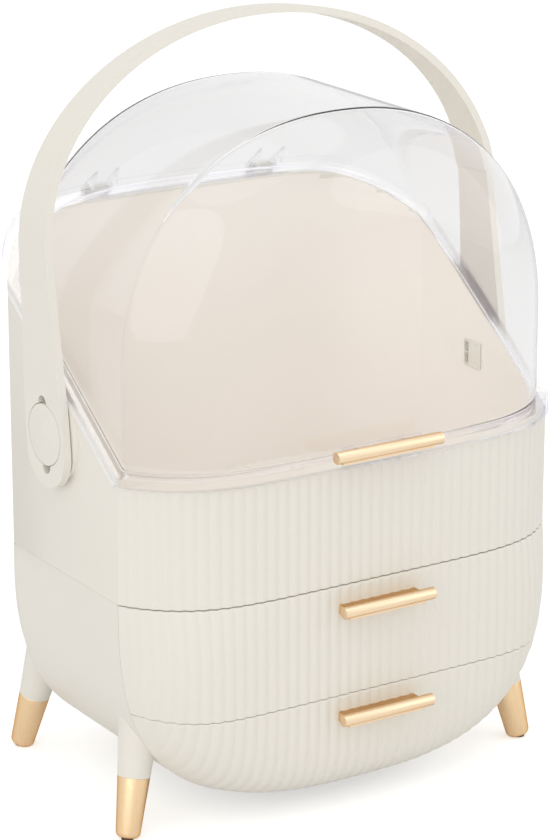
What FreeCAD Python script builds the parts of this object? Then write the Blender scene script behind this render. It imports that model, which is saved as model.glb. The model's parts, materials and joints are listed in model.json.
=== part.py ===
import FreeCAD, Part
import math
import os

os.makedirs("parts", exist_ok=True)
V = FreeCAD.Vector

# Drawer organizer with a clear domed lid, a carry handle and two drawers.
# Millimetres. X is right, Y is towards the back, Z is up, the ground is at zero.

# Case form
half_width = 140.0
crease_depth = 58.2
bulge = 38.0
bulge_power = 5.75
back_bulge = 43.0
back_power = 6.5
belly_height = 9.3
belly_power = 2.85
belly_bow_power = 13.4
wall = 3.0
middle_seam = 139.5
drawer_seam = 75.4
seat_front = 205.5
seat_slope = 0.708

# Gaps
seam_gap = 0.4
drawer_gap = 0.5
slide_gap = 0.4
front_gap = 0.3
lid_gap = 0.4
pin_fit = 0.02
turn_fit = 0.06

# Drawers
tray_wall = 2.0
rim_width = 7.0
frame_inset = 3.8
frame_thick = 2.5
upper_tray_half = 130.0
upper_tray_back = 60.0
upper_tray_top = 132.0
lower_tray_half = 130.0
lower_tray_back = 55.0
lower_tray_floor = 27.0
lower_tray_top = 72.5
shelf_thick = 2.4
shelf_gap = 0.6
shelf_front = -54.5
shelf_back = 57.0
ledge_half = 127.0
runner_x = 70.0
runner_width = 8.0
runner_reach = 50.0

# Round bar pulls
bar_radius = 3.3
drawer_bar_length = 59.0
lid_bar_length = 68.0
bar_stand = 11.8
web_short = 4.6
web_rise = 0.5
web_height = 5.3
upper_bar_height = 128.1
lower_bar_height = 65.6
pull_screw_x = 15.0
screw_radius = 1.5
screw_head = 2.4
screw_head_thick = 1.6

# Lid
dome_half = 135.3
dome_crease = 56.8
dome_bulge = 36.3
dome_spring = 262.0
dome_crown = 390.6
dome_power = 2.19
dome_wall = 2.4
flange_reach = 2.3
flange_height = 7.2
flange_roof = 2.4
flange_lip = 2.0
tab_half = 25.0
tab_thick = 2.6
tab_above = 2.7
tab_below = 6.0
lid_bar_height = 215.9
lid_bar_stand = 5.4

# Lid hinge
hinge_y = 108.4
hinge_z = 320.0
barrel_radius = 4.2
pin_radius = 2.0
knuckle_inner = 49.1
knuckle_outer = 60.8
ear_rise = 15.0
ear_thick = 1.8
ear_gap = 0.6
pin_overhang = 0.6

# Carry handle
pivot_y = 6.0
pivot_z = 218.6
handle_inner = 143.0
handle_thick = 4.6
crown_thick = 4.2
handle_spring = 99.0
handle_crown = 215.9
handle_power = 2.03
handle_eye = 20.5
handle_drop = 9.0
handle_lean = 5.3
# Half widths of the band, each at a share of the crown's height
handle_edge = [(16.5, 0.28), (14.4, 0.51), (12.0, 0.74), (9.3, 0.925), (7.5, 1.03)]
cap_radius = 17.0
cap_thick = 3.0
cap_recess = 17.5
shank_radius = 11.0
boss_radius = 25.5
boss_height = 2.2
tenon_width = 9.0
tenon_height = 13.0
tenon_shift = -1.7
clip_width = 15.6
clip_height = 16.0
clip_thick = 1.4
clip_slot_width = 3.4
clip_slot_height = 5.6
clip_rib = 1.4
clip_edge = 0.8
notch_radius = 4.2
notch_pocket = 1.8

# Legs
front_foot = (132.9, -51.7)
back_foot = (119.1, 94.5)
front_splay = (0.21, 0.13)
back_splay = (0.15, 0.25)
pad_radius = 3.4
pad_height = 1.0
tip_radius = 6.7
tip_round = 3.0
joint_radius = 9.0
joint_height = 35.0
leg_length = 100.0
leg_top_radius = 14.6

# Screws that hold the upper case to the lower one
post_x = 60.0
post_y = 76.0
post_radius = 6.0
post_drop = 30.0


def box(x0, x1, y0, y1, z0, z1):
    return Part.makeBox(x1 - x0, y1 - y0, z1 - z0, V(x0, y0, z0))


def rod(radius, x0, x1, y, z):
    return Part.makeCylinder(radius, x1 - x0, V(x0, y, z), V(1, 0, 0))


def spline(points, start, finish):
    curve = Part.BSplineCurve()
    curve.interpolate(Points=points, InitialTangent=start, FinalTangent=finish)
    return curve.toShape()


def slab(profile, x0, x1):
    """A side view outline, given as (y, z) corners, pushed along X from x0 to x1."""
    corners = [V(x0, y, z) for y, z in profile]
    face = Part.Face(Part.makePolygon(corners + corners[:1]))
    return face.extrude(V(x1 - x0, 0, 0))


def bow(share, power):
    """How far a bowed face swells out at a share of the way to its edge, from 1 in the middle to 0.
    Past the edge it goes on straight."""
    share = abs(share)
    if share > 1.0:
        return power * (1.0 - share)
    return 1.0 - share ** power


def side_form(swell, direction):
    """Swell and power of the bowed front, or of the deeper and squarer back."""
    if direction < 0:
        return swell, bulge_power
    return swell + back_bulge - bulge, back_power


def bow_edge(half, crease, swell, z, direction):
    points = []
    count = 36
    swell, power = side_form(swell, direction)
    for index in range(count + 1):
        share = math.sin(math.pi * (index / count - 0.5))
        points.append(V(share * half, direction * (crease + swell * bow(share, power)), z))
    slope = power * swell / half
    start = V(1, direction * slope, 0)
    finish = V(1, -direction * slope, 0)
    return spline(points, start, finish)


def prism(half, crease, swell, z0, z1):
    """Upright walls over the plan outline: two flat sides, a bowed front and a bowed back."""
    front = bow_edge(half, crease, swell, z0, -1)
    back = bow_edge(half, crease, swell, z0, 1)
    right = Part.makeLine(V(half, -crease, z0), V(half, crease, z0))
    left = Part.makeLine(V(-half, -crease, z0), V(-half, crease, z0))
    wire = Part.Wire([front, right, back, left])
    return Part.Face(wire).extrude(V(0, 0, z1 - z0))


def arch_wire(half, spring, reach, end, power, y):
    """A rounded end from the spring line to reach, with straight sides back to the flat end."""
    points = []
    count = 32
    for index in range(count + 1):
        angle = math.pi * (index / count - 0.5)
        across = math.sin(angle)
        along = max(math.cos(angle), 0.0)
        size = (abs(across) ** power + along ** power) ** (-1.0 / power)
        points.append(V(half * size * across, y, spring + (reach - spring) * size * along))
    way = 1 if reach > spring else -1
    curve = spline(points, V(0, 0, way), V(0, 0, -way))
    right = Part.makeLine(V(half, y, spring), V(half, y, end))
    flat = Part.makeLine(V(half, y, end), V(-half, y, end))
    left = Part.makeLine(V(-half, y, end), V(-half, y, spring))
    return Part.Wire([curve, right, flat, left])


def swell_solid(half, crease, swell, spring, reach, end, power, direction, end_power):
    """Everything on the inner side of a bowed face; the bow fades to nothing at the rounded outline.
    Its power goes from the side's own, across, to end_power, straight up or down."""
    margin = 5.0
    far = reach + margin * (1 if reach > spring else -1)
    columns = 56
    rows = 42
    swell, side_power = side_form(swell, direction)
    grid = []
    for column in range(columns + 1):
        x = (half + margin) * (2.0 * column / columns - 1.0)
        line = []
        for row in range(rows + 1):
            z = end + (far - end) * row / rows
            rise = max((z - spring) / (reach - spring), 0.0)
            share = (abs(x / half) ** power + rise ** power) ** (1.0 / power)
            upright = rise / share if share > 0 else 0.0
            bow_power = side_power + (end_power - side_power) * upright
            line.append(V(x, direction * (crease + swell * bow(share, bow_power)), z))
        grid.append(line)
    surface = Part.BSplineSurface()
    surface.interpolate(grid)
    return surface.toShape().extrude(V(0, -direction * 2.0 * (crease + swell + back_bulge), 0))


def cushion(half, crease, swell, spring, reach, end, power, end_power):
    """A rounded outline pushed along Y, with a bowed front and a bowed back."""
    deep = crease + swell + back_bulge
    form = Part.Face(arch_wire(half, spring, reach, end, power, -deep)).extrude(V(0, 2 * deep, 0))
    for direction in (-1, 1):
        face = swell_solid(half, crease, swell, spring, reach, end, power, direction, end_power)
        form = form.common(face)
    return form


def above_seat(rise, top=600.0):
    """Everything above the lid seat: level over the front, sloping up over the sides to the back."""
    low = seat_front + rise
    high = low + seat_slope * (300.0 + crease_depth)
    profile = [(-300.0, low), (-crease_depth, low), (300.0, high), (300.0, top), (-300.0, top)]
    return slab(profile, -300.0, 300.0)


# Forms shared by several pieces
def belly(inset, swell_cut):
    return cushion(half_width - inset, crease_depth, bulge - swell_cut, middle_seam,
                   belly_height + inset, middle_seam + 20.0, belly_power, belly_bow_power)


def straight(inset, y0, y1):
    """The middle part of the same form, between two upright planes."""
    wire = arch_wire(half_width - inset, middle_seam, belly_height + inset, middle_seam + 20.0, belly_power, y0)
    return Part.Face(wire).extrude(V(0, y1 - y0, 0))


def belly_half(inset, z):
    """Half width of the same form at a height."""
    drop = (middle_seam - z) / (middle_seam - belly_height - inset)
    return (half_width - inset) * (1.0 - drop ** belly_power) ** (1.0 / belly_power)


outer_belly = belly(0.0, 0.0)
inner_belly = belly(wall, wall)
front_hollow = belly(rim_width, wall)
case_top = middle_seam - seam_gap / 2
shelf_top = drawer_seam + shelf_thick / 2
shelf_low = drawer_seam - shelf_thick / 2
shelf_half = belly_half(wall, shelf_low) - shelf_gap
front_back = -crease_depth + 0.6
case_front = front_back + front_gap

parts = {}

# Lower case: shell open at the front, with shelf ledges, tray runners and screw posts
shell = outer_belly.cut(inner_belly)
behind_front = box(-200, 200, case_front, 200, 0, case_top)
lower_case = shell.common(behind_front)
additions = []
for side in (-1, 1):
    ledge = box(ledge_half, half_width - wall / 2, shelf_front + 4, shelf_back - 2, shelf_low - 3, shelf_low)
    runner = box(runner_x - runner_width / 2, runner_x + runner_width / 2, -runner_reach, runner_reach,
                 belly_height, lower_tray_floor - slide_gap)
    if side < 0:
        ledge = ledge.mirror(V(0, 0, 0), V(1, 0, 0))
        runner = runner.mirror(V(0, 0, 0), V(1, 0, 0))
    post = Part.makeCylinder(post_radius, post_drop, V(side * post_x, post_y, case_top - post_drop))
    root = box(side * post_x - 2, side * post_x + 2, post_y, post_y + back_bulge, case_top - post_drop, case_top)
    additions += [ledge, runner, post, root]
additions = additions[0].multiFuse(additions[1:]).common(outer_belly)
lower_case = lower_case.fuse(additions)
for side in (-1, 1):
    hole = Part.makeCylinder(screw_radius + pin_fit, 16, V(side * post_x, post_y, case_top - 16))
    lower_case = lower_case.cut(hole)
parts["lower_case"] = lower_case

# Shelf between the drawers
parts["drawer_shelf"] = box(-shelf_half, shelf_half, shelf_front, shelf_back, shelf_low, shelf_top)


# Upper case: open box under the lid seat, with pivot bosses and hinge knuckles
def tenon_bar(x0, x1, fit):
    """Square tenon of a pivot cap, or with a fit the hole for it."""
    middle = pivot_y + tenon_shift
    return box(x0, x1, middle - tenon_width / 2 - fit, middle + tenon_width / 2 + fit,
               pivot_z - tenon_height / 2 - fit, pivot_z + tenon_height / 2 + fit)


def clip_slots(x0, x1):
    """Two small windows behind the tenon, one above the other."""
    y0 = pivot_y + tenon_shift + tenon_width / 2 + clip_edge
    low = pivot_z - clip_rib / 2 - clip_slot_height
    high = pivot_z + clip_rib / 2
    return [box(x0, x1, y0, y0 + clip_slot_width, z, z + clip_slot_height) for z in (low, high)]


sky = 1.2 * dome_crown
upper_outer = prism(half_width, crease_depth, bulge, middle_seam + seam_gap / 2, sky)
step = prism(half_width - 1.0, crease_depth - 0.6, bulge - 0.4, case_top, middle_seam + wall)
step = step.cut(box(-200, 200, -200, -crease_depth + 2.0, 0, middle_seam + seam_gap / 2))
upper_inner = prism(half_width - wall, crease_depth, bulge - wall, middle_seam + wall, sky)
upper_case = upper_outer.fuse(step).cut(above_seat(0.0)).cut(upper_inner)
knuckle_root = crease_depth + back_bulge - wall / 2
root_low = hinge_z - 24.0
knuckle_profile = [(knuckle_root, root_low), (hinge_y + barrel_radius * 0.9, hinge_z - barrel_radius * 0.4),
                   (hinge_y, hinge_z), (hinge_y - barrel_radius * 0.9, hinge_z - 0.2),
                   (knuckle_root, hinge_z - 8.0)]
wall_solid = upper_outer.cut(above_seat(0.0))
for side in (-1, 1):
    x0 = min(side * knuckle_inner, side * knuckle_outer)
    x1 = max(side * knuckle_inner, side * knuckle_outer)
    barrel = rod(barrel_radius, x0, x1, hinge_y, hinge_z)
    bracket = slab(knuckle_profile, x0, x1).cut(prism(half_width - wall, crease_depth, bulge - wall, 0, sky))
    boss = rod(boss_radius, half_width - wall / 2, half_width + boss_height, pivot_y, pivot_z)
    for way in (-1, 1):
        pocket = rod(notch_radius, half_width + boss_height - notch_pocket, half_width + boss_height + 1, pivot_y,
                     pivot_z + way * cap_recess)
        pocket.rotate(V(0, pivot_y, pivot_z), V(1, 0, 0), -handle_lean)
        boss = boss.cut(pocket)
    if side < 0:
        boss = boss.mirror(V(0, 0, 0), V(1, 0, 0))
    upper_case = upper_case.multiFuse([barrel, bracket, boss])
    bore = rod(pin_radius + pin_fit, x0 - 1, x1 + 1, hinge_y, hinge_z)
    slot = tenon_bar(half_width - 10, half_width + 10, pin_fit)
    slot = slot.multiFuse(clip_slots(half_width - wall - 1, half_width))
    if side < 0:
        slot = slot.mirror(V(0, 0, 0), V(1, 0, 0))
    screw_hole = Part.makeCylinder(screw_radius + pin_fit, 20, V(side * post_x, post_y, middle_seam - 5))
    upper_case = upper_case.cut(bore).cut(slot).cut(screw_hole)
parts["upper_case"] = upper_case.removeSplitter()

screws = []
for side in (-1, 1):
    shank = Part.makeCylinder(screw_radius, 15 + wall, V(side * post_x, post_y, middle_seam + wall - 15 - wall))
    head = Part.makeCylinder(screw_head, screw_head_thick, V(side * post_x, post_y, middle_seam + wall))
    screws.append(shank.fuse(head).removeSplitter())
parts["case_screws"] = Part.makeCompound(screws)


# Drawer trays, fronts, pulls and pull screws
def bar_pull(length, z, y_axis, y_face, blank):
    """A round bar on a low web; the web end takes the form of the face it stands on."""
    bar = rod(bar_radius, -length / 2, length / 2, y_axis, z)
    web_half = length / 2 - web_short
    web = box(-web_half, web_half, y_axis, y_face, z + web_rise - web_height, z + web_rise)
    return bar.fuse(web.cut(blank)).removeSplitter()


def web_middle(z):
    """Height of the screws of a pull: the middle of its web."""
    return z + web_rise - web_height / 2


def pull_screws(z, y_head, depth):
    """Two screws along Y: the head sits behind the wall and the shank runs forward into the web."""
    found = []
    for side in (-1, 1):
        place = V(side * pull_screw_x, y_head, z)
        shank = Part.makeCylinder(screw_radius, depth, place, V(0, -1, 0))
        head = Part.makeCylinder(screw_head, screw_head_thick, place, V(0, 1, 0))
        found.append(shank.fuse(head).removeSplitter())
    return Part.makeCompound(found)


def screw_holes(z, y_back, depth):
    holes = []
    for side in (-1, 1):
        place = V(side * pull_screw_x, y_back, z)
        holes.append(Part.makeCylinder(screw_radius + pin_fit, depth, place, V(0, -1, 0)))
    return holes


upper_low = drawer_seam + drawer_gap / 2
upper_high = case_top - front_gap
lower_high = drawer_seam - drawer_gap / 2
upper_floor = shelf_top + slide_gap
frame_y0 = front_back
frame_y1 = frame_y0 + frame_thick

upper_tray = box(-upper_tray_half, upper_tray_half, frame_y0, upper_tray_back, upper_floor, upper_tray_top)
corner = 8.0
upright = [edge for edge in upper_tray.Edges
           if abs(edge.tangentAt(edge.FirstParameter).z) > 0.9 and edge.CenterOfMass.y > 0]
upper_tray = upper_tray.makeFillet(corner, upright)
hollow = box(-upper_tray_half + tray_wall, upper_tray_half - tray_wall, frame_y0 - 1,
             upper_tray_back - tray_wall, upper_floor + tray_wall, upper_tray_top + 1)
upright = [edge for edge in hollow.Edges
           if abs(edge.tangentAt(edge.FirstParameter).z) > 0.9 and edge.CenterOfMass.y > 0]
hollow = hollow.makeFillet(corner - tray_wall, upright)
frame = straight(frame_inset, frame_y0, frame_y1).common(
    box(-200, 200, -200, 200, upper_floor, upper_high - 0.6))
parts["upper_drawer_tray"] = upper_tray.fuse(frame).cut(hollow).cut(
    box(-upper_tray_half + tray_wall, upper_tray_half - tray_wall, frame_y0 - 1, frame_y1 + 1,
        upper_floor + tray_wall, 200)).removeSplitter()


def tray_form(half, floor, y0, y1):
    form = straight(half_width - half, y0, y1)
    return form.common(box(-200, 200, -200, 200, floor, lower_tray_top))


lower_tray = tray_form(lower_tray_half, lower_tray_floor, frame_y0, lower_tray_back)
lower_hollow = tray_form(lower_tray_half - tray_wall, lower_tray_floor + tray_wall, frame_y0 - 1,
                         lower_tray_back - tray_wall)
frame = straight(frame_inset, frame_y0, frame_y1).common(
    box(-200, 200, -200, 200, 0, shelf_low - slide_gap))
window = tray_form(lower_tray_half - tray_wall, lower_tray_floor + tray_wall, frame_y0 - 1, frame_y1 + 1)
roof_cut = box(-lower_tray_half + 12, lower_tray_half - 12, frame_y0 - 1, frame_y1 + 1, lower_tray_top - 1, 100)
parts["lower_drawer_tray"] = lower_tray.fuse(frame).cut(lower_hollow).cut(window).cut(roof_cut).removeSplitter()


def front_face(z, inset, swell_cut):
    """Where the bowed front lies on the middle plane at a height."""
    share = max(middle_seam - z, 0.0) / (middle_seam - belly_height - inset)
    return -(crease_depth + (bulge - swell_cut) * bow(share, belly_bow_power))


for name, low, high, floor, z in (("upper", upper_low, upper_high, upper_floor + tray_wall, upper_bar_height),
                                  ("lower", 0.0, lower_high, 0.0, lower_bar_height)):
    face = front_face(z, 0.0, 0.0)
    screw_z = web_middle(z)
    head_y = front_face(screw_z - screw_head - 2.0, rim_width, wall)
    pad = box(-pull_screw_x - 6, pull_screw_x + 6, -200, head_y, screw_z - 5, screw_z + 5)
    space = front_hollow.common(box(-200, 200, -200, 0, floor, 300)).cut(pad)
    front = outer_belly.common(box(-200, 200, -200, front_back, low, high)).cut(space)
    pull = bar_pull(drawer_bar_length, z, face - bar_stand, face + 8.0, outer_belly)
    for hole in screw_holes(screw_z, head_y + 4.0, head_y - face + 11.0):
        front = front.cut(hole)
        pull = pull.cut(hole)
    parts[name + "_drawer_front"] = front
    parts[name + "_drawer_pull"] = pull
    parts[name + "_drawer_screws"] = pull_screws(screw_z, head_y, head_y - face + 5.5)

# Clear lid: domed shell, hollow flange around its foot, pull tab and hinge ears
dome_base = seat_front - 60.0
dome_outer = cushion(dome_half, dome_crease, dome_bulge, dome_spring, dome_crown, dome_base, dome_power,
                     bulge_power)
dome_inner = cushion(dome_half - dome_wall, dome_crease, dome_bulge - dome_wall, dome_spring,
                     dome_crown - dome_wall, dome_base, dome_power, bulge_power)
flange_form = prism(half_width + flange_reach, crease_depth + flange_reach * 0.8, bulge + 0.5, dome_base, sky)
flange_hollow = prism(half_width + flange_reach - flange_lip, crease_depth + lid_gap, bulge, dome_base, sky)
lid_zone = above_seat(lid_gap)
flange = flange_form.common(lid_zone).cut(above_seat(flange_height))
groove = flange_hollow.common(lid_zone).cut(above_seat(flange_height - flange_roof)).cut(dome_outer)
lid = dome_outer.common(lid_zone).fuse(flange).cut(groove)
flange_front = -(crease_depth + flange_reach * 0.8 + bulge + 0.5)
tab_low = min(seat_front + lid_gap, lid_bar_height - tab_below)
tab_top = lid_bar_height + tab_above
tab = box(-tab_half, tab_half, flange_front - tab_thick, flange_front + 3.0, seat_front + lid_gap,
          seat_front + flange_height)
upright_tab = box(-tab_half, tab_half, flange_front - tab_thick, flange_front, tab_low, tab_top)
pieces = [tab.cut(flange_hollow), upright_tab]
dome_back = dome_crease + dome_bulge + back_bulge - bulge
ear_profile = [(dome_back - 16.0, hinge_z + ear_rise + 8.0), (dome_back - 4.5, hinge_z + ear_rise),
               (hinge_y, hinge_z + barrel_radius), (hinge_y, hinge_z - barrel_radius),
               (dome_back - 16.0, hinge_z - barrel_radius)]
for side in (-1, 1):
    for x in (knuckle_inner - ear_gap - ear_thick, knuckle_outer + ear_gap):
        x0 = min(side * x, side * (x + ear_thick))
        plate = slab(ear_profile, x0, x0 + ear_thick).common(lid_zone)
        pieces.append(plate.fuse(rod(barrel_radius, x0, x0 + ear_thick, hinge_y, hinge_z)))
lid = lid.multiFuse(pieces).cut(dome_inner)
lid = lid.cut(rod(pin_radius + turn_fit, -knuckle_outer - 20, knuckle_outer + 20, hinge_y, hinge_z))
lid_screw_z = web_middle(lid_bar_height)
for side in (-1, 1):
    seat = V(side * pull_screw_x, flange_front, lid_screw_z)
    lid = lid.cut(Part.makeCylinder(screw_head + front_gap, screw_head_thick + front_gap, seat, V(0, 1, 0)))
for hole in screw_holes(lid_screw_z, flange_front + 1.0, 10.0):
    lid = lid.cut(hole)
parts["lid_dome"] = lid

tab_face = flange_front - tab_thick
pull = bar_pull(lid_bar_length, lid_bar_height, tab_face - lid_bar_stand, tab_face, box(-1, 1, 500, 501, 0, 1))
for hole in screw_holes(lid_screw_z, flange_front + 1.0, 10.0):
    pull = pull.cut(hole)
parts["lid_pull"] = pull
parts["lid_pull_screws"] = pull_screws(lid_screw_z, flange_front, tab_thick + 5.0)

for side, word in ((-1, "left"), (1, "right")):
    near = knuckle_inner - ear_gap - ear_thick - pin_overhang
    far = knuckle_outer + ear_gap + ear_thick + pin_overhang
    x0 = min(side * near, side * far)
    parts["hinge_pin_" + word] = rod(pin_radius, x0, x0 + far - near, hinge_y, hinge_z)

# Carry handle: an arch cut to a side view that is wide at the pivots and narrow at the crown
handle_outer = handle_inner + handle_thick
beyond = handle_outer + 20.0
low_end = -2.0 * (handle_drop + handle_eye)
band_half = 2.0 * handle_eye
outer_arch = arch_wire(handle_outer, handle_spring, handle_crown, low_end, handle_power, -band_half)
inner_arch = arch_wire(handle_inner, handle_spring, handle_crown - crown_thick, low_end - 5.0, handle_power, -band_half)
across = V(0, 2.0 * band_half, 0)
band = Part.Face(outer_arch).extrude(across).cut(Part.Face(inner_arch).extrude(across))
right_points = [V(-beyond, handle_eye, 0)]
for y, share in handle_edge:
    right_points.append(V(-beyond, y, share * handle_crown))
left_points = [V(-beyond, -point.y, point.z) for point in reversed(right_points)]
right_edge = spline(right_points, V(0, 0, 1), V(0, -0.1, 1))
left_edge = spline(left_points, V(0, -0.1, -1), V(0, 0, -1))
top_edge = Part.makeLine(right_points[-1], left_points[0])
left_side = Part.makeLine(V(-beyond, -handle_eye, 0), V(-beyond, -handle_eye, -handle_drop))
right_side = Part.makeLine(V(-beyond, handle_eye, -handle_drop), V(-beyond, handle_eye, 0))
eye_edge = Part.Arc(V(-beyond, -handle_eye, -handle_drop), V(-beyond, 0, -handle_drop - handle_eye),
                    V(-beyond, handle_eye, -handle_drop)).toShape()
outline = Part.Wire([right_edge, top_edge, left_edge, left_side, eye_edge, right_side])
side_view = Part.Face(outline).extrude(V(2.0 * beyond, 0, 0))
handle = band.common(side_view)
handle = handle.cut(rod(shank_radius + turn_fit, -beyond, beyond, 0, 0))
for side in (-1, 1):
    x0 = min(side * (handle_outer - cap_thick), side * beyond)
    x1 = max(side * (handle_outer - cap_thick), side * beyond)
    handle = handle.cut(rod(cap_recess, x0, x1, 0, 0))
    for way in (-1, 1):
        handle = handle.cut(rod(notch_radius, -beyond, beyond, 0, way * cap_recess))
handle.rotate(V(0, 0, 0), V(1, 0, 0), -handle_lean)
handle.translate(V(0, pivot_y, pivot_z))
parts["carry_handle"] = handle.removeSplitter()

for side, word in ((-1, "left"), (1, "right")):
    cap_x = handle_outer - cap_thick + turn_fit
    cap = rod(cap_radius, cap_x, handle_outer, pivot_y, pivot_z)
    shank = rod(shank_radius, half_width + boss_height, cap_x, pivot_y, pivot_z)
    tenon_end = half_width - wall - clip_thick
    tenon = tenon_bar(tenon_end, cap_x, 0.0)
    clip = box(tenon_end, half_width - wall, pivot_y - clip_width / 2, pivot_y + clip_width / 2,
               pivot_z - clip_height / 2, pivot_z + clip_height / 2)
    clip = clip.cut(tenon)
    for window in clip_slots(tenon_end - 1, half_width):
        clip = clip.cut(window)
    cap = cap.multiFuse([shank, tenon]).removeSplitter()
    if side < 0:
        cap = cap.mirror(V(0, 0, 0), V(1, 0, 0))
        clip = clip.mirror(V(0, 0, 0), V(1, 0, 0))
    parts["pivot_cap_" + word] = cap
    parts["pivot_clip_" + word] = clip

# Splayed legs with metal tips and rubber pads
ground = box(-300, 300, -300, 300, -60, 0)
for word, foot, splay, depth in (("front", front_foot, front_splay, -1), ("back", back_foot, back_splay, 1)):
    for side, hand in ((-1, "left"), (1, "right")):
        lean = V(-side * splay[0], -depth * splay[1], 1.0)
        lean.normalize()
        toe = V(side * foot[0], foot[1], 0)
        pad = Part.makeCylinder(pad_radius, pad_height + 4, toe - lean * 4, lean)
        tip = Part.makeCone(tip_radius, joint_radius, joint_height - pad_height, toe + lean * pad_height, lean)
        toe_edge = min((edge for edge in tip.Edges if edge.Closed), key=lambda edge: edge.CenterOfMass.z)
        tip = tip.makeFillet(tip_round, [toe_edge])
        leg = Part.makeCone(joint_radius, leg_top_radius, leg_length - joint_height, toe + lean * joint_height, lean)
        parts["foot_pad_" + word + "_" + hand] = pad.cut(ground)
        parts["leg_tip_" + word + "_" + hand] = tip.cut(ground)
        leg = leg.cut(outer_belly)
        lowest = min(leg.Solids, key=lambda solid: solid.BoundBox.ZMin)
        parts["leg_" + word + "_" + hand] = lowest

for name, shape in parts.items():
    if len(shape.Solids) == 1:
        shape = shape.Solids[0]
    shape.exportStep("parts/" + name + ".step")
    size = shape.BoundBox
    print(name, shape.isValid(), len(shape.Solids), round(shape.Volume / 1000.0, 2),
          [round(value, 1) for value in (size.XMin, size.XMax, size.YMin, size.YMax, size.ZMin, size.ZMax)])
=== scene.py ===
import json
import math

import bmesh
import bpy
import numpy as np
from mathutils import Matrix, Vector


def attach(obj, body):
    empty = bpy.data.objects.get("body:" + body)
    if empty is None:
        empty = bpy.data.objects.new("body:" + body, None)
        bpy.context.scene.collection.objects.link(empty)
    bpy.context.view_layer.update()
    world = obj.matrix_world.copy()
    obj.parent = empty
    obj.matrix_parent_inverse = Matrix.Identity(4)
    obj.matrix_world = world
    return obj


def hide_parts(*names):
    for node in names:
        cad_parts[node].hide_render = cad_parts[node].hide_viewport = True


# Looks of a drawer organizer: ribbed fronts, rounded edges, a clear domed lid and gold fittings
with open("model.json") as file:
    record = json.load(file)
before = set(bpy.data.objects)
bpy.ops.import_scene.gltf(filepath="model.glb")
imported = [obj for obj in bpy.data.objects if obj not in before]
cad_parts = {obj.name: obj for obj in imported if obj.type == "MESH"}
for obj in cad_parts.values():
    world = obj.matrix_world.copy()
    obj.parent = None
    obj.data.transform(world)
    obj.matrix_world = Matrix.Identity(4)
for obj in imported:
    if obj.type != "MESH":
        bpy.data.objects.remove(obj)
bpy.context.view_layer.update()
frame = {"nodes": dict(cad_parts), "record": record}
nodes = frame["nodes"]
mm = 0.001

# Sizes of the case, in metres, as the solids have them
half_width = 140.0 * mm
crease_depth = 58.2 * mm
bulge = 38.0 * mm
bulge_power = 5.75
back_bulge = 43.0 * mm
back_power = 6.5
belly_height = 9.3 * mm
belly_power = 2.85
belly_bow_power = 13.4
middle_seam = 139.5 * mm
belly_drop = middle_seam - belly_height
drawer_seam = 75.4 * mm
seat_front = 205.5 * mm
seat_slope = 0.708

# Ribs of the fronts
rib_pitch = 6.65 * mm
rib_height = 0.75 * mm
rib_power = 0.6
rib_foot = 0.1 * mm
rib_columns = 620
rib_top_fade = 1.3 * mm
top_fade_power = 0.5
side_fade = 0.035
edge_crowd = 0.6
edge_roll = 0.35 * mm
roll_rows = 5
least_skin = 2.2 * edge_roll
face_rows = (0.0, 0.97, 36)
fade_rows = (0.975, 1.0, 8)
plan_samples = 6001
slope_step = 0.02 * mm
skin_above_seam = 0.2 * mm
skin_under_rim = 0.1 * mm
skin_under_middle = 0.5 * mm
skin_under_drawer = 0.15 * mm

# Rounded edges
bevel_angle = 50.0
case_edge = 0.3 * mm
handle_edge = 1.9 * mm
cap_edge = 0.7 * mm
clip_edge = 0.6 * mm
bar_edge = 0.7 * mm
tab_edge = 0.6 * mm

# Inner faces of the upper case, which are painted lighter, and the tongue behind its seam
facing_limit = 0.02
level_limit = 0.9
floor_depth = 20.0 * mm
rim_step = 3.0 * mm
tongue_reach = 56.0 * mm
tongue_half = 1.0 * mm
tongue_depth = 2.0 * mm
tongue_inset = 0.2 * mm

# Covers of the two screws in the floor of the upper case, which is 3 mm thick
screw_x = 60.0 * mm
screw_y = 76.0 * mm
floor_top = middle_seam + 3.02 * mm
cover_radius = 3.6 * mm
cover_height = 2.3 * mm
cover_round = 0.8 * mm

# Sizes of the lid; its wall is thinner than the solid's, which looks clearer
lid_gap = 0.4 * mm
lip_gap = 0.15 * mm
glue_gap = 0.12 * mm
dome_half = 135.3 * mm
dome_crease = 56.8 * mm
dome_bulge = 36.3 * mm
dome_back_bulge = dome_bulge + back_bulge - bulge
dome_spring = 262.0 * mm
dome_crown = 390.6 * mm
dome_power = 2.19
dome_wall = 1.6 * mm
dome_round = 1.8 * mm
flange_reach = 2.3 * mm
flange_crease = crease_depth + 0.8 * flange_reach
flange_bulge = bulge + 0.5 * mm
flange_crease_share = 0.45
flange_height = 7.2 * mm
flange_roof = 2.4 * mm
flange_lip = 2.0 * mm
flange_width = 8.6 * mm
flange_corner = 1.2 * mm
tab_half = 25.0 * mm
tab_thick = 2.6 * mm
tab_top = 218.6 * mm

# Rows and columns of the lid's surfaces
arch_samples = 500
arch_columns = 90
front_rows = 72
roof_rows = 60
back_rows = 60
crowd_power = 2.0
corner_pull = 0.55
longest_bend = 0.3
bend_rows = 7
settle_rounds = 60
bow_columns = 120
side_columns = 60
corner_rows = 6

# Ears of the lid's hinge
hinge_y = 108.4 * mm
hinge_z = 320.0 * mm
barrel_radius = 4.2 * mm
barrel_start = 62.0
barrel_end = -165.0
barrel_points = 28
ear_rise = 15.0 * mm
ear_thick = 1.8 * mm
ear_under = 1.0 * mm
ear_places = (46.7 * mm, 61.4 * mm)

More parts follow.
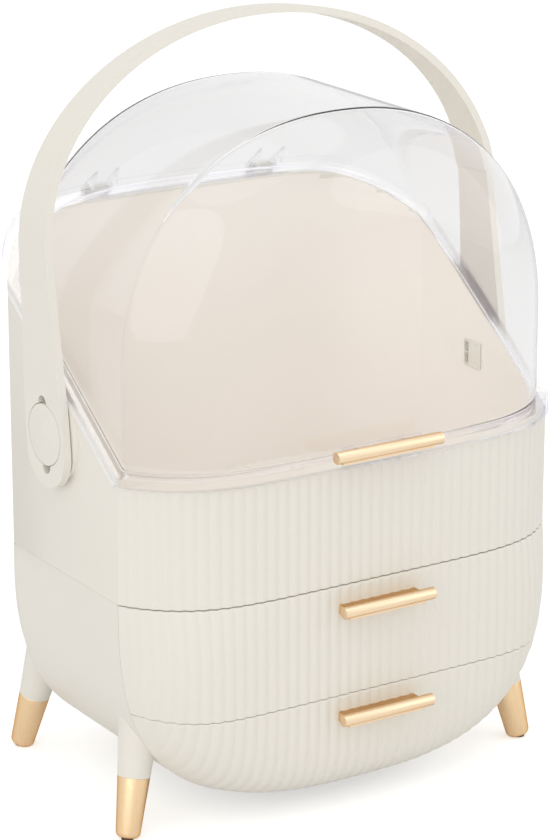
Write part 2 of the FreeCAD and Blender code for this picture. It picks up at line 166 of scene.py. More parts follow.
# Sizes of the leg tips: each foot's place, and how far a leg leans out over its height
pad_height = 1.0 * mm
tip_radius = 6.7 * mm
tip_round = 3.0 * mm
joint_radius = 9.0 * mm
joint_height = 35.0 * mm
joint_round = 0.4 * mm
round_rows = 9
turned_columns = 64
ground_gap = 0.05 * mm
axis_radius = 0.001 * mm
front_foot = (132.9 * mm, -51.7 * mm)
back_foot = (119.1 * mm, 94.5 * mm)
front_lean = (0.21, -0.13)
back_lean = (0.15, 0.25)

# Studio: brightness of floor and surroundings, and each lamp's name, place, width and power
floor_half = 6.0
floor_seen = 0.45
floor_mirrored = 0.12
soft_light = 0.64
lamp_aim = (0.0, 0.0, 0.2)
lamps = (("key", (-2.8, -2.0, 1.6), 4.5, 44.0),
         ("fill", (2.4, -1.8, 1.3), 3.0, 12.0),
         ("top", (0.0, -0.4, 2.8), 3.0, 14.0))

# Camera: focal length and middle in pixels of an image 840 high
image_height = 840.0
focal_pixels = 3269.65
middle_right = 2.03
middle_up = 1.15
film_width = 36.0
far_end = 50.0
eye_place = (-0.9480, -1.4678, 0.7574)
eye_aim = (0.0, 0.00935, 0.2)


# Meshes
def grid_mesh(name, points, close_columns=False, close_rows=False):
    """A sheet of quads over an array of points, rows by columns, closed on itself where asked."""
    rows, columns = points.shape[:2]
    row = np.arange(rows if close_rows else rows - 1)
    column = np.arange(columns if close_columns else columns - 1)
    r, c = np.meshgrid(row, column, indexing="ij")
    this_row = r * columns
    next_row = (r + 1) % rows * columns
    next_column = (c + 1) % columns
    quads = np.stack([this_row + c, this_row + next_column, next_row + next_column, next_row + c], -1)
    mesh = bpy.data.meshes.new(name)
    mesh.from_pydata(points.reshape(-1, 3).tolist(), [], quads.reshape(-1, 4).tolist())
    mesh.update()
    return mesh


def joined_mesh(name, meshes, weld=1e-5):
    """Several meshes made one, with points closer than weld merged and the faces turned outwards."""
    whole = bmesh.new()
    for mesh in meshes:
        whole.from_mesh(mesh)
    bmesh.ops.remove_doubles(whole, verts=whole.verts, dist=weld)
    bmesh.ops.dissolve_degenerate(whole, edges=whole.edges, dist=1e-7)
    bmesh.ops.recalc_face_normals(whole, faces=whole.faces)
    result = bpy.data.meshes.new(name)
    whole.to_mesh(result)
    whole.free()
    return result


def plate(name, outline, x0, x1):
    """A flat plate: a side outline of depth and height, pushed from one place along X to another."""
    outline = np.array(outline)
    count = len(outline)
    near = np.column_stack([np.full(count, x0), outline])
    far = np.column_stack([np.full(count, x1), outline])
    ring = np.arange(count)
    after = (ring + 1) % count
    walls = np.column_stack([ring, after, after + count, ring + count])
    faces = walls.tolist() + [list(range(count))[::-1], list(range(count, 2 * count))]
    mesh = bpy.data.meshes.new(name)
    mesh.from_pydata(np.concatenate([near, far]).tolist(), [], faces)
    mesh.update()
    return mesh


def piece(name, mesh, body, material, smooth=35.0):
    """An object for a mesh, riding on a body and taking a slot's finish."""
    thing = bpy.data.objects.new(name, mesh)
    bpy.context.scene.collection.objects.link(thing)
    mesh.shade_smooth()
    mesh.set_sharp_from_angle(angle=math.radians(smooth))
    mesh.materials.clear()
    mesh.materials.append(material)
    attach(thing, body)
    return thing


def eased_copy(node, body, material, width):
    """A node's own solid with its points merged and its hard edges rounded off by a small bevel."""
    mesh = joined_mesh(node + "_eased", [nodes[node].data], weld=2e-6)
    thing = piece(node + "_eased", mesh, body, material)
    bevel = thing.modifiers.new("rounded edges", "BEVEL")
    bevel.width = width
    bevel.segments = 3
    bevel.limit_method = "ANGLE"
    bevel.angle_limit = math.radians(bevel_angle)
    bevel.use_clamp_overlap = True
    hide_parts(node)


# Forms of the case
def bow(share, power):
    """Swell of a bowed face: one in the middle, falling to nothing at the outline, straight past it."""
    share = np.abs(share)
    return np.where(share > 1.0, power * (1.0 - share), 1.0 - np.minimum(share, 1.0) ** power)


def belly_share(x, z):
    """Place in the case outline as a share of the way from the middle line to the edge, and its slant."""
    drop = np.clip((middle_seam - z) / belly_drop, 0.0, None)
    share = (np.abs(x / half_width) ** belly_power + drop ** belly_power) ** (1.0 / belly_power)
    return share, drop / np.maximum(share, 1e-9)


def belly_edge(share):
    """The rounded outline of the belly: for a share of the way along one axis, the share along the other."""
    return np.clip(1.0 - np.clip(share, 0.0, 1.0) ** belly_power, 0.0, 1.0) ** (1.0 / belly_power)


def case_front(x, z):
    """Depth of the bowed front face over width and height; the bow is squarer downwards than across."""
    share, upright = belly_share(x, z)
    power = bulge_power + (belly_bow_power - bulge_power) * upright
    return -(crease_depth + bulge * bow(share, power))


def seat_height(y):
    """Height of the lid seat: level over the front, then a straight slope to the back."""
    return seat_front + seat_slope * np.clip(y + crease_depth, 0.0, None)


def rib_relief(x):
    """Round reeds side by side: the height is a power of the raised cosine of the length along the plan."""
    line = np.linspace(-half_width, half_width, plan_samples)
    depth = bulge * bow(line / half_width, bulge_power)
    length = np.concatenate([[0.0], np.cumsum(np.hypot(np.diff(line), np.diff(depth)))])
    along = np.interp(x, line, length - length[-1] / 2)
    return rib_height * (0.5 + 0.5 * np.cos(2 * math.pi * along / rib_pitch)) ** rib_power


def ribbed_skin(name, low, high, top_fade):
    """The ribbed outer face of a front between two heights: the bowed face plus reeds that run straight up
    and fade at the side creases and, where asked, at the upper edge; both edges roll in a quarter round."""
    angle = np.linspace(-math.pi / 2, math.pi / 2, rib_columns)
    spread = edge_crowd * np.sin(angle) + (1.0 - edge_crowd) * angle / (math.pi / 2)
    x = half_width * belly_edge((middle_seam - high) / belly_drop) * spread
    outline = middle_seam - belly_drop * belly_edge(np.abs(x / half_width))
    lower = np.minimum(np.maximum(outline, low), high - least_skin) + edge_roll
    upper = high - edge_roll
    level = np.zeros_like(x)
    share = np.concatenate([np.linspace(*face_rows), np.linspace(*fade_rows)])[:, None]
    turn = np.linspace(0.0, math.pi / 2, roll_rows)
    turn_down = turn[::-1][:-1, None]
    turn_up = turn[1:, None]
    face_z = lower + (upper - lower) * share
    z = np.concatenate([lower - edge_roll * np.sin(turn_down), face_z,
                        upper + edge_roll * np.sin(turn_up) + level])
    inset = np.concatenate([edge_roll * (1 - np.cos(turn_down)) + level, np.zeros_like(face_z),
                            edge_roll * (1 - np.cos(turn_up)) + level])
    x = np.broadcast_to(x, z.shape)
    slope_x = (case_front(x + slope_step, z) - case_front(x - slope_step, z)) / (2 * slope_step)
    slope_z = (case_front(x, z + slope_step) - case_front(x, z - slope_step)) / (2 * slope_step)
    size = np.sqrt(1 + slope_x ** 2 + slope_z ** 2)
    fade = np.clip((1.0 - belly_share(x, z)[0]) / side_fade, 0.0, 1.0)
    fade = fade * fade * (3 - 2 * fade)
    if top_fade:
        fade = fade * np.clip((high - z) / top_fade, 0.0, 1.0) ** top_fade_power
    relief = rib_foot + rib_relief(x) * fade - inset
    points = np.stack([x + relief * slope_x / size, case_front(x, z) - relief / size,
                       z + relief * slope_z / size], -1)
    return grid_mesh(name, points)


def inner_faces(mesh):
    """Marks the faces that line the upper case: those that face the middle of the box or lie on its floor,
    without the low step at its rim. These faces are painted lighter, which stands in for light that comes
    through the thin wall."""
    count = len(mesh.polygons)
    middles = np.zeros(count * 3)
    facing = np.zeros(count * 3)
    starts = np.zeros(count, dtype=np.int32)
    corners = np.zeros(len(mesh.loops), dtype=np.int32)
    points = np.zeros(len(mesh.vertices) * 3)
    mesh.polygons.foreach_get("center", middles)
    mesh.polygons.foreach_get("normal", facing)
    mesh.polygons.foreach_get("loop_start", starts)
    mesh.loops.foreach_get("vertex_index", corners)
    mesh.vertices.foreach_get("co", points)
    middles = middles.reshape(-1, 3)
    facing = facing.reshape(-1, 3)
    lowest = np.minimum.reduceat(points.reshape(-1, 3)[corners, 2], starts)
    inwards = (facing[:, :2] * middles[:, :2]).sum(axis=1) < -facing_limit
    on_floor = (facing[:, 2] > level_limit) & (middles[:, 2] < seat_front - floor_depth)
    below_rim = lowest < seat_height(middles[:, 1]) - rim_step
    return (inwards | on_floor) & below_rim & (middles[:, 2] > middle_seam)


# Forms of the lid
def dome_depth(x, z, swell, power):
    """How far a bowed end of the dome stands out: the swell falls to nothing at the arched outline."""
    rise = np.clip((z - dome_spring) / (dome_crown - dome_spring), 0.0, None)
    share = (np.abs(x / dome_half) ** dome_power + rise ** dome_power) ** (1.0 / dome_power)
    return dome_crease + swell * bow(np.minimum(share, 1.0), power)


def dome_outline(foot):
    """The dome's arched outline from one foot over the crown to the other: upright sides and a rounded
    arch, in even shares of the length, for an array of foot heights."""
    turn = np.linspace(0.0, math.pi / 2, arch_samples)
    arch_x = dome_half * np.clip(np.cos(turn), 0, 1) ** (2 / dome_power)
    arch_z = dome_spring + (dome_crown - dome_spring) * np.sin(turn) ** (2 / dome_power)
    side_x = np.concatenate([[dome_half], arch_x])
    side_z = np.concatenate([[seat_front], arch_z])
    length = np.concatenate([[0.0], np.cumsum(np.hypot(np.diff(side_x), np.diff(side_z)))])
    start = np.interp(foot, side_z, length)
    along = start[:, None] + (length[-1] - start)[:, None] * np.linspace(0.0, 1.0, arch_columns + 1)
    x = np.interp(along, length, side_x)
    z = np.interp(along, length, side_z)
    return np.concatenate([-x, x[:, -2::-1]], axis=1), np.concatenate([z, z[:, -2::-1]], axis=1)


def rounded_corner(before, corner, after):
    """A soft bend between two rows of points: a parabola drawn from one to the other by their corner."""
    share = np.linspace(0.0, 1.0, bend_rows)[1:-1, None, None]
    return (1 - share) ** 2 * before + 2 * share * (1 - share) * corner + share ** 2 * after


def dome_surface():
    """The dome's outer face as one sheet: a fan of lines from the foot of the bowed front out to its arched
    crease, the roof along the arch, and the bowed back let down from its crease to the sloping seat."""
    rise = flange_height + glue_gap
    inner_y = np.linspace(-dome_crease + dome_round, dome_crease - dome_round, roof_rows)
    y = np.concatenate([[-dome_crease], inner_y, [dome_crease]])
    roof_x, roof_z = dome_outline(seat_height(y) + rise)
    roof = np.stack([roof_x, np.broadcast_to(y[:, None], roof_x.shape), roof_z], -1)
    foot = seat_front + rise
    out = np.hypot(roof_x[0], roof_z[0] - foot)
    reach = (1.0 - np.linspace(1.0, 0.0, front_rows) ** crowd_power)[:, None]
    reach = reach * (1.0 - corner_pull * dome_round / out)
    front_x = reach * roof_x[0]
    front_z = foot + reach * (roof_z[0] - foot)
    front = np.stack([front_x, -dome_depth(front_x, front_z, dome_bulge, bulge_power), front_z], -1)
    low = np.full(roof_x[-1].shape, seat_front)
    for _ in range(settle_rounds):
        depth = dome_depth(roof_x[-1], np.minimum(low, roof_z[-1]), dome_back_bulge, back_power)
        low = np.minimum(0.5 * low + 0.5 * (seat_height(depth) + rise), roof_z[-1])
    fall = np.clip(roof_z[-1] - low, 1e-9, None)
    first = np.minimum(dome_round / fall, longest_bend)
    drop = first + (1.0 - first) * (np.linspace(0.0, 1.0, back_rows) ** crowd_power)[:, None]
    back_x = np.broadcast_to(roof_x[-1], drop.shape)
    back_z = roof_z[-1] - drop * fall
    back = np.stack([back_x, dome_depth(back_x, back_z, dome_back_bulge, back_power), back_z], -1)
    return grid_mesh("dome", np.concatenate([
        front, rounded_corner(front[-1], roof[0], roof[1]), roof[1:-1],
        rounded_corner(roof[-2], roof[-1], back[0]), back]))


def plan_ring(inset):
    """The lid's plan outline set in by a distance: flat sides with a bowed front and a deeper bowed back."""
    half = half_width + flange_reach - inset
    crease = flange_crease - flange_crease_share * inset
    swell = flange_bulge - (1.0 - flange_crease_share) * inset
    deeper = swell + back_bulge - bulge
    share = np.sin(np.linspace(-math.pi / 2, math.pi / 2, bow_columns))
    front = np.stack([half * share, -(crease + swell * bow(share, bulge_power))], -1)
    side = np.linspace(-crease, crease, side_columns)[1:-1]
    right = np.stack([np.full(side.shape, half), side], -1)
    back = np.stack([-half * share, crease + deeper * bow(share, back_power)], -1)
    left = np.stack([np.full(side.shape, -half), -side], -1)
    return np.concatenate([front, right, back, left])


def flange_surface():
    """The lid's flange: a channel profile, given as inset and rise, carried round the plan outline and
    lifted to the seat."""
    turn = np.linspace(0.0, math.pi / 2, corner_rows)[1:]
    side_top = flange_height - flange_corner
    under = flange_height - flange_roof
    outer = np.stack([flange_corner * (1 - np.cos(turn)), side_top + flange_corner * np.sin(turn)], -1)
    profile = np.concatenate([
        [[0.0, lip_gap], [0.0, side_top]], outer, [[flange_width, flange_height], [flange_width, under]],
        [[flange_lip, under], [flange_lip, lip_gap]]])
    rows = []
    for inset, rise in profile:
        ring = plan_ring(inset)
        rows.append(np.column_stack([ring, seat_height(ring[:, 1]) + rise]))
    return grid_mesh("flange", np.array(rows), close_columns=True, close_rows=True)


def ear_outline(x):
    """A hinge ear: a gusset that stands on the flange against the dome's back and runs down to a round
    barrel behind it."""
    root_z = hinge_z + ear_rise
    root_y = float(dome_depth(np.array(x), np.array(root_z), dome_back_bulge, back_power)) + glue_gap
    lip_y = flange_crease + flange_bulge + back_bulge - bulge + glue_gap
    foot_y = dome_crease + dome_back_bulge + glue_gap
    rise = flange_height + glue_gap
    turn = np.linspace(math.radians(barrel_start), math.radians(barrel_end), barrel_points)
    barrel = np.stack([hinge_y + barrel_radius * np.cos(turn), hinge_z + barrel_radius * np.sin(turn)], -1)
    base = [[lip_y, hinge_z - ear_under], [lip_y, seat_height(lip_y) + rise],
            [foot_y, seat_height(foot_y) + rise]]
    return np.concatenate([[[root_y, root_z]], barrel, base])


# Turned forms
def turned_surface(toe, way, radii, heights):
    """A turned piece: a radius over height along an axis that may lean, kept just above the ground."""
    way = np.array(way) / np.linalg.norm(way)
    side = np.cross(way, [1.0, 0.0, 0.0])
    side /= np.linalg.norm(side)
    other = np.cross(way, side)
    angle = np.linspace(0.0, 2 * math.pi, turned_columns, endpoint=False)
    ring = np.cos(angle)[:, None] * side + np.sin(angle)[:, None] * other
    axis = np.array(toe) + heights[:, None] * way
    points = axis[:, None, :] + radii[:, None, None] * ring[None]
    points[..., 2] = np.maximum(points[..., 2], ground_gap)
    return grid_mesh("turned", points, close_columns=True)


def cover_profile():
    """Radius over height of a screw cover: a low disc with a rounded upper edge."""
    turn = np.linspace(0.0, math.pi / 2, round_rows)
    edge_radius = cover_radius - cover_round * (1 - np.cos(turn))
    edge_height = cover_height - cover_round * (1 - np.sin(turn))
    radii = np.concatenate([[axis_radius, cover_radius], edge_radius, [axis_radius]])
    heights = np.concatenate([[0.0, 0.0], edge_height, [cover_height]])
    return radii, heights


def tip_profile():
    """Radius over height of a leg tip: a cone with a rounded toe and a small round at the joint."""
    turn = np.linspace(0.0, math.pi / 2, round_rows)
    toe_width = tip_radius + (joint_radius - tip_radius) * tip_round / joint_height
    toe_radius = toe_width - tip_round * (1 - np.sin(turn))
    toe_height = pad_height + tip_round * (1 - np.cos(turn))
    edge_radius = joint_radius - joint_round * (1 - np.cos(turn))
    edge_height = joint_height - joint_round * (1 - np.sin(turn))
    radii = np.concatenate([[axis_radius], toe_radius, edge_radius, [axis_radius]])
    heights = np.concatenate([[pad_height], toe_height, edge_height, [joint_height]])
    return radii, heights


# Materials
def colour(text):
    """An sRGB hex colour as linear values."""
    value = np.array([int(text[i:i + 2], 16) for i in (1, 3, 5)]) / 255.0
    linear = np.where(value <= 0.04045, value / 12.92, ((value + 0.055) / 1.055) ** 2.4)
    return tuple(linear.tolist()) + (1.0,)


def add(tree, kind, settings=None, inputs=None):
    """A node with its settings and its inputs, each a value or another node's socket."""
    node = tree.nodes.new(kind)
    for key, value in (settings or {}).items():
        setattr(node, key, value)
    for key, value in (inputs or {}).items():
        if isinstance(value, bpy.types.NodeSocket):
            tree.links.new(value, node.inputs[key])
        else:
            node.inputs[key].default_value = value
    return node


def new_material(name):
    """A material with an empty node tree."""
    material = bpy.data.materials.new(name)
    material.use_nodes = True
    material.node_tree.nodes.clear()
    return material, material.node_tree


def moulded_plastic(name, pale, deep, roughness):
    """Moulded ABS: an even satin shell with a fine spark-eroded grain and a slow drift of tone. Real grain
    is about a tenth of a millimetre; it is drawn coarser, so that it shows."""
    drift_mm = 111.1
    grain_mm = 0.9
    material, tree = new_material(name)
    place = add(tree, "ShaderNodeTexCoord").outputs["Object"]
    drift = add(tree, "ShaderNodeTexNoise", {},
                {"Vector": place, "Scale": 1000.0 / drift_mm, "Detail": 2.0})
    tone = add(tree, "ShaderNodeMix", {"data_type": "RGBA"},
               {"Factor": drift.outputs["Fac"], "A": colour(pale), "B": colour(deep)})
    grain = add(tree, "ShaderNodeTexNoise", {},
                {"Vector": place, "Scale": 1000.0 / grain_mm, "Detail": 2.0})
    gloss = add(tree, "ShaderNodeMapRange", {},
                {"Value": grain.outputs["Fac"], "From Min": 0.3, "From Max": 0.7,
                 "To Min": roughness - 0.04, "To Max": roughness + 0.05})
    bump = add(tree, "ShaderNodeBump", {},
               {"Height": grain.outputs["Fac"], "Strength": 0.12, "Distance": 0.04 * mm})
    shell = add(tree, "ShaderNodeBsdfPrincipled", {},
                {"Base Color": tone.outputs["Result"], "Roughness": gloss.outputs["Result"],
                 "Normal": bump.outputs["Normal"], "IOR": 1.5})
    add(tree, "ShaderNodeOutputMaterial", {}, {"Surface": shell.outputs["BSDF"]})
    return material


def satin_metal(name, pale, deep, rim, roughness, line_mm):
    """Anodised or plated metal: a satin surface with fine brushed lines and a deeper tone at its rim, which
    is partly the metal's own edge colour and partly painted shade along the sides of rounded parts. The
    lines' sizes along the three axes are given; real brushing is finer, and is drawn so that it shows."""
    material, tree = new_material(name)
    place = add(tree, "ShaderNodeTexCoord").outputs["Object"]
    stretched = add(tree, "ShaderNodeMapping", {},
                    {"Vector": place, "Scale": tuple(1000.0 / size for size in line_mm)})
    lines = add(tree, "ShaderNodeTexNoise", {},
                {"Vector": stretched.outputs["Vector"], "Scale": 1.0, "Detail": 3.0})
    tone = add(tree, "ShaderNodeMix", {"data_type": "RGBA"},
               {"Factor": lines.outputs["Fac"], "A": colour(pale), "B": colour(deep)})
    gloss = add(tree, "ShaderNodeMapRange", {},
                {"Value": lines.outputs["Fac"], "From Min": 0.25, "From Max": 0.75,
                 "To Min": roughness - 0.05, "To Max": roughness + 0.07})
    bump = add(tree, "ShaderNodeBump", {},
               {"Height": lines.outputs["Fac"], "Strength": 0.1, "Distance": 0.03 * mm})
    shell = add(tree, "ShaderNodeBsdfPrincipled", {},
                {"Base Color": tone.outputs["Result"], "Metallic": 1.0,
                 "Roughness": gloss.outputs["Result"], "Specular Tint": colour(rim),
                 "Normal": bump.outputs["Normal"]})
    add(tree, "ShaderNodeOutputMaterial", {}, {"Surface": shell.outputs["BSDF"]})
    return material


def clear_styrene(name):
    """Clear moulded styrene: bends and faintly mirrors the room at its edges, greys along its wall, and
    turns pale lavender where light is caught inside it; lamps shine through. Its IOR is below styrene's
    usual 1.59, which keeps the thin wall as faint as the eye sees it."""
    flow_mm = 71.4
    most_bounces = 6.0
    material, tree = new_material(name)
    place = add(tree, "ShaderNodeTexCoord").outputs["Object"]
    flow = add(tree, "ShaderNodeTexNoise", {},
               {"Vector": place, "Scale": 1000.0 / flow_mm, "Detail": 1.0})
    bump = add(tree, "ShaderNodeBump", {},
               {"Height": flow.outputs["Fac"], "Strength": 0.04, "Distance": 0.4 * mm})
    glass = add(tree, "ShaderNodeBsdfPrincipled", {},
                {"Base Color": colour("#ffffff"), "Roughness": 0.0, "IOR": 1.36,
                 "Transmission Weight": 1.0, "Normal": bump.outputs["Normal"]})
    path = add(tree, "ShaderNodeLightPath")
    caught = add(tree, "ShaderNodeMath", {"operation": "GREATER_THAN"},
                 {0: path.outputs["Ray Depth"], 1: most_bounces})
    tint = add(tree, "ShaderNodeMix", {"data_type": "RGBA"},
               {"Factor": caught.outputs["Value"], "A": colour("#ffffff"), "B": colour("#dcd8e4")})
    open_way = add(tree, "ShaderNodeBsdfTransparent", {}, {"Color": tint.outputs["Result"]})
    lit = add(tree, "ShaderNodeMath", {"operation": "MAXIMUM"},
              {0: path.outputs["Is Shadow Ray"], 1: path.outputs["Is Diffuse Ray"]})
    straight = add(tree, "ShaderNodeMath", {"operation": "MAXIMUM"},
                   {0: lit.outputs["Value"], 1: caught.outputs["Value"]})
    mixed = add(tree, "ShaderNodeMixShader", {},
                {0: straight.outputs["Value"], 1: glass.outputs["BSDF"], 2: open_way.outputs["BSDF"]})
    depth = add(tree, "ShaderNodeVolumeAbsorption", {}, {"Color": colour("#cbc7cc"), "Density": 3.0})
    add(tree, "ShaderNodeOutputMaterial", {},
        {"Surface": mixed.outputs["Shader"], "Volume": depth.outputs["Volume"]})
    return material


def clear_rim(name):
    """The lid's thin clear rim: seen straight through, pale lavender where it is looked along, with a faint
    mirror that grows towards its edges."""
    edge_power = 5.0
    most_mirror = 0.45
    material, tree = new_material(name)
    edge = add(tree, "ShaderNodeLayerWeight", {}, {"Blend": 0.5})
    steep = add(tree, "ShaderNodeMath", {"operation": "POWER"}, {0: edge.outputs["Facing"], 1: edge_power})
    tint = add(tree, "ShaderNodeMix", {"data_type": "RGBA"},
               {"Factor": steep.outputs["Value"], "A": colour("#ffffff"), "B": colour("#cdc6e2")})
    open_way = add(tree, "ShaderNodeBsdfTransparent", {}, {"Color": tint.outputs["Result"]})
    mirror = add(tree, "ShaderNodeBsdfGlossy", {}, {"Color": colour("#ffffff"), "Roughness": 0.05})
    bright = add(tree, "ShaderNodeFresnel", {}, {"IOR": 1.45})
    share = add(tree, "ShaderNodeMath", {"operation": "MINIMUM"}, {0: bright.outputs["Fac"], 1: most_mirror})
    mixed = add(tree, "ShaderNodeMixShader", {},
                {0: share.outputs["Value"], 1: open_way.outputs["BSDF"], 2: mirror.outputs["BSDF"]})
    add(tree, "ShaderNodeOutputMaterial", {}, {"Surface": mixed.outputs["Shader"]})
    return material


def soft_rubber(name):
    """Moulded rubber: dark brown, matt and slightly dusty."""
    dust_mm = 1.43
    material, tree = new_material(name)
    place = add(tree, "ShaderNodeTexCoord").outputs["Object"]
    dust = add(tree, "ShaderNodeTexNoise", {},
               {"Vector": place, "Scale": 1000.0 / dust_mm, "Detail": 3.0})
    tone = add(tree, "ShaderNodeMix", {"data_type": "RGBA"},
               {"Factor": dust.outputs["Fac"], "A": colour("#4a3a2c"), "B": colour("#5e4a38")})
    shell = add(tree, "ShaderNodeBsdfPrincipled", {},
                {"Base Color": tone.outputs["Result"], "Roughness": 0.8})
    add(tree, "ShaderNodeOutputMaterial", {}, {"Surface": shell.outputs["BSDF"]})
    return material


def studio_white(name):
    """A pale floor that reads as plain white behind the object and still takes its shadow."""
    material, tree = new_material(name)
    shade = add(tree, "ShaderNodeBsdfDiffuse", {}, {"Color": colour("#f4f4f4")})
    path = add(tree, "ShaderNodeLightPath")
    mirrored = add(tree, "ShaderNodeMath", {"operation": "MAXIMUM"},
                   {0: path.outputs["Is Glossy Ray"], 1: path.outputs["Is Transmission Ray"]})
    faint = add(tree, "ShaderNodeMath", {"operation": "MULTIPLY"},
                {0: mirrored.outputs["Value"], 1: floor_mirrored})
    level = add(tree, "ShaderNodeMath", {"operation": "MULTIPLY_ADD"},
                {0: path.outputs["Is Camera Ray"], 1: floor_seen, 2: faint.outputs["Value"]})
    glow = add(tree, "ShaderNodeEmission", {}, {"Strength": level.outputs["Value"]})
    both = add(tree, "ShaderNodeAddShader", {}, {0: shade.outputs["BSDF"], 1: glow.outputs["Emission"]})
    add(tree, "ShaderNodeOutputMaterial", {}, {"Surface": both.outputs["Shader"]})
    return material


cream = moulded_plastic("cream moulded ABS", "#eeeae1", "#ebe6da", 0.42)
# Painted light: a lighter copy of the cream for the inside of the upper case, standing in for light through
# the wall
cream_painted_lighter_inside = moulded_plastic("cream moulded ABS, painted lighter inside", "#fdf8f1", "#fbf4ec", 0.45)
# The rim tones below are partly the metals' edge colour and partly painted shade along the sides of rounded
# parts
gold_bar = satin_metal("champagne anodised aluminium", "#f8e4c8", "#f0d4ae", "#e0b27a", 0.34,
                       (25.0, 0.4, 0.4))
gold_tip = satin_metal("champagne anodised leg tip", "#f6dcb6", "#ecc99c", "#d6a265", 0.34,
                       (0.667, 0.667, 8.33))
zinc = satin_metal("zinc plated steel", "#d3d3d6", "#bcbcc0", "#a0a0a4", 0.4, (1.11, 1.11, 1.11))
clear = clear_styrene("clear moulded styrene")
thin_clear = clear_rim("clear moulded styrene rim")
rubber = soft_rubber("moulded rubber")

# Finishes of the solids
finishes = {"cream_plastic": cream, "clear_plastic": clear, "gold_anodised": gold_bar,
            "black_rubber": rubber, "steel": zinc}
for entry in frame["record"]["subparts"]:
    solid = nodes[entry["node"]]
    solid.data.materials.clear()
    solid.data.materials.append(finishes[entry["material_slot"]])

# Ribbed faces over the fronts
skins = (("upper_case_ribs", middle_seam + skin_above_seam, seat_front - skin_under_rim, 0.0, "case"),
         ("upper_drawer_ribs", drawer_seam + skin_above_seam, middle_seam - skin_under_middle,
          rib_top_fade, "upper_drawer"),
         ("lower_drawer_ribs", 0.0, drawer_seam - skin_under_drawer, rib_top_fade, "lower_drawer"))
for name, low, high, top_fade, body in skins:
    piece(name, ribbed_skin(name, low, high, top_fade), body, cream, smooth=60.0)

# Case, handle and pivots with rounded edges
for node, body, width in (("upper_case", "case", case_edge), ("lower_case", "case", case_edge),
                          ("carry_handle", "handle", handle_edge),
                          ("pivot_cap_left", "case", cap_edge), ("pivot_cap_right", "case", cap_edge),
                          ("pivot_clip_left", "case", clip_edge), ("pivot_clip_right", "case", clip_edge)):
    eased_copy(node, body, cream, width)

# Painted light: the inside of the upper case is coloured lighter than the outside, standing in for light
# that comes through its thin wall
case_mesh_painted_inside = bpy.data.objects["upper_case_eased"].data
case_mesh_painted_inside.materials.append(cream_painted_lighter_inside)
case_mesh_painted_inside.polygons.foreach_set("material_index", inner_faces(case_mesh_painted_inside).astype(np.int32))

# Moulded covers over the two screws in the floor of the upper case, in the same lighter inside colour, which
# is painted light
sides = ((-1, "left"), (1, "right"))
cover_radii, cover_heights = cover_profile()
for side, word in sides:
    toe = (side * screw_x, screw_y, floor_top)
    mesh = joined_mesh("cover", [turned_surface(toe, (0.0, 0.0, 1.0), cover_radii, cover_heights)])
    piece("screw_cover_" + word, mesh, "case", cream_painted_lighter_inside, smooth=40.0)

# Tongue behind the seam of the two cases, which keeps the seam a shallow groove
tongue_low = middle_seam - tongue_half
tongue_high = middle_seam + tongue_half
tongue_outline = [[-tongue_reach, tongue_low], [tongue_reach, tongue_low],
                  [tongue_reach, tongue_high], [-tongue_reach, tongue_high]]
for side, word in sides:
    tongue = plate("seam", tongue_outline,
                   side * (half_width - tongue_depth), side * (half_width - tongue_inset))
    piece("seam_tongue_" + word, joined_mesh("seam", [tongue]), "case", cream)

# Clear lid
dome = piece("lid_dome_shell", joined_mesh("dome", [dome_surface()]), "lid", clear,
             smooth=40.0)
thick = dome.modifiers.new("wall", "SOLIDIFY")
thick.thickness = dome_wall
thick.offset = -1.0
thick.use_even_offset = True
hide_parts("lid_dome")
piece("lid_flange", joined_mesh("flange", [flange_surface()]), "lid", thin_clear,
      smooth=50.0)
flange_front = -(flange_crease + flange_bulge)
tab_low = seat_front + lid_gap
tab_back = flange_front - glue_gap
tab_face = flange_front - tab_thick
tab_outline = [[tab_back, tab_low], [tab_face, tab_low], [tab_face, tab_top], [tab_back, tab_top]]
tab_mesh = plate("tab", tab_outline, -tab_half, tab_half)
tab = piece("lid_pull_tab", joined_mesh("tab", [tab_mesh]), "lid", thin_clear, smooth=50.0)
softened = tab.modifiers.new("rounded edges", "BEVEL")
softened.width = tab_edge
softened.segments = 2
ears = []
for side, _ in sides:
    for place in ear_places:
        ears.append(plate("ear", ear_outline(side * place), side * place, side * (place + ear_thick)))
piece("lid_hinge_ears", joined_mesh("ears", ears), "lid", thin_clear, smooth=40.0)

# Gold bar pulls
for node, body in (("upper_drawer_pull", "upper_drawer"), ("lower_drawer_pull", "lower_drawer"),
                   ("lid_pull", "lid")):
    eased_copy(node, body, gold_bar, bar_edge)

# Gold leg tips, turned with a rounded toe
tip_radii, tip_heights = tip_profile()
for end, foot, lean in (("front", front_foot, front_lean), ("back", back_foot, back_lean)):
    for side, word in sides:
        node = "leg_tip_" + end + "_" + word
        toe = (side * foot[0], foot[1], 0.0)
        way = (-side * lean[0], -lean[1], 1.0)
        mesh = joined_mesh("tip", [turned_surface(toe, way, tip_radii, tip_heights)])
        tip = piece(node + "_turned", mesh, "case", gold_tip, smooth=40.0)
        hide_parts(node)

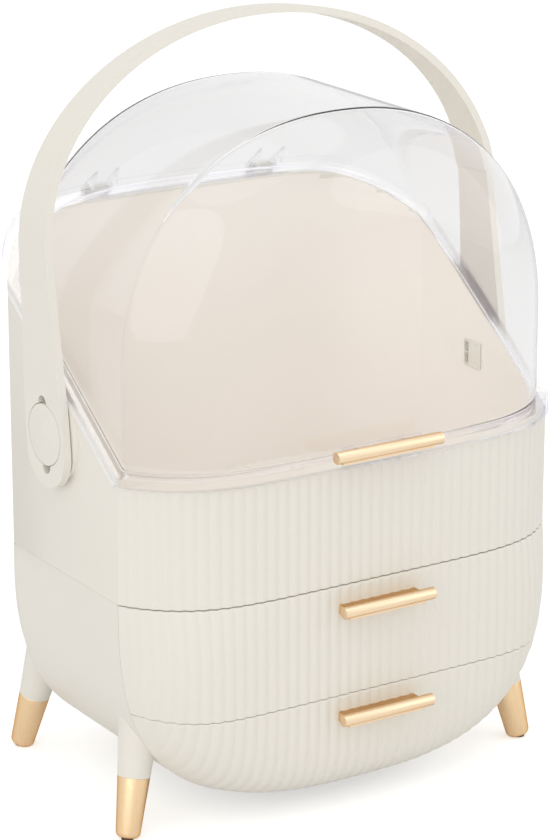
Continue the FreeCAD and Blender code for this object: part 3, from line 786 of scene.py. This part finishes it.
# Floor
floor_mesh = bpy.data.meshes.new("floor")
floor_corners = [(-floor_half, -floor_half, 0), (floor_half, -floor_half, 0),
                 (floor_half, floor_half, 0), (-floor_half, floor_half, 0)]
floor_mesh.from_pydata(floor_corners, [], [(0, 1, 2, 3)])
floor_mesh.materials.append(studio_white("white floor"))
floor = bpy.data.objects.new("floor", floor_mesh)
bpy.context.scene.collection.objects.link(floor)

# Surroundings: soft light on the object, plain white where they are seen
world = bpy.data.worlds.new("studio")
bpy.context.scene.world = world
world.use_nodes = True
sky = world.node_tree
sky.nodes.clear()
path = add(sky, "ShaderNodeLightPath")
mirrored = add(sky, "ShaderNodeMath", {"operation": "MAXIMUM"},
               {0: path.outputs["Is Camera Ray"], 1: path.outputs["Is Glossy Ray"]})
seen = add(sky, "ShaderNodeMath", {"operation": "MAXIMUM"},
           {0: mirrored.outputs["Value"], 1: path.outputs["Is Transmission Ray"]})
soft = add(sky, "ShaderNodeBackground", {}, {"Color": colour("#ffffff"), "Strength": soft_light})
white = add(sky, "ShaderNodeBackground", {}, {"Color": colour("#ffffff"), "Strength": 1.0})
both = add(sky, "ShaderNodeMixShader", {},
           {0: seen.outputs["Value"], 1: soft.outputs["Background"], 2: white.outputs["Background"]})
add(sky, "ShaderNodeOutputWorld", {}, {"Surface": both.outputs["Shader"]})


def aimed(place, aim):
    """The turn that points a lamp or a camera from its place at an aim."""
    return (Vector(aim) - Vector(place)).to_track_quat("-Z", "Y").to_euler()


# Lamps
for name, place, width, power in lamps:
    light = bpy.data.lights.new(name, "AREA")
    light.shape = "DISK"
    light.size = width
    light.energy = power
    lamp = bpy.data.objects.new(name, light)
    lamp.location = place
    lamp.rotation_euler = aimed(place, lamp_aim)
    bpy.context.scene.collection.objects.link(lamp)

# Camera
view = bpy.data.cameras.new("view")
view.sensor_width = film_width
view.lens = focal_pixels * film_width / image_height
view.shift_x = middle_right / image_height
view.shift_y = middle_up / image_height
view.clip_end = far_end
eye = bpy.data.objects.new("view", view)
eye.location = eye_place
eye.rotation_euler = aimed(eye_place, eye_aim)
bpy.context.scene.collection.objects.link(eye)
bpy.context.scene.camera = eye
bpy.context.scene.view_settings.view_transform = "Standard"
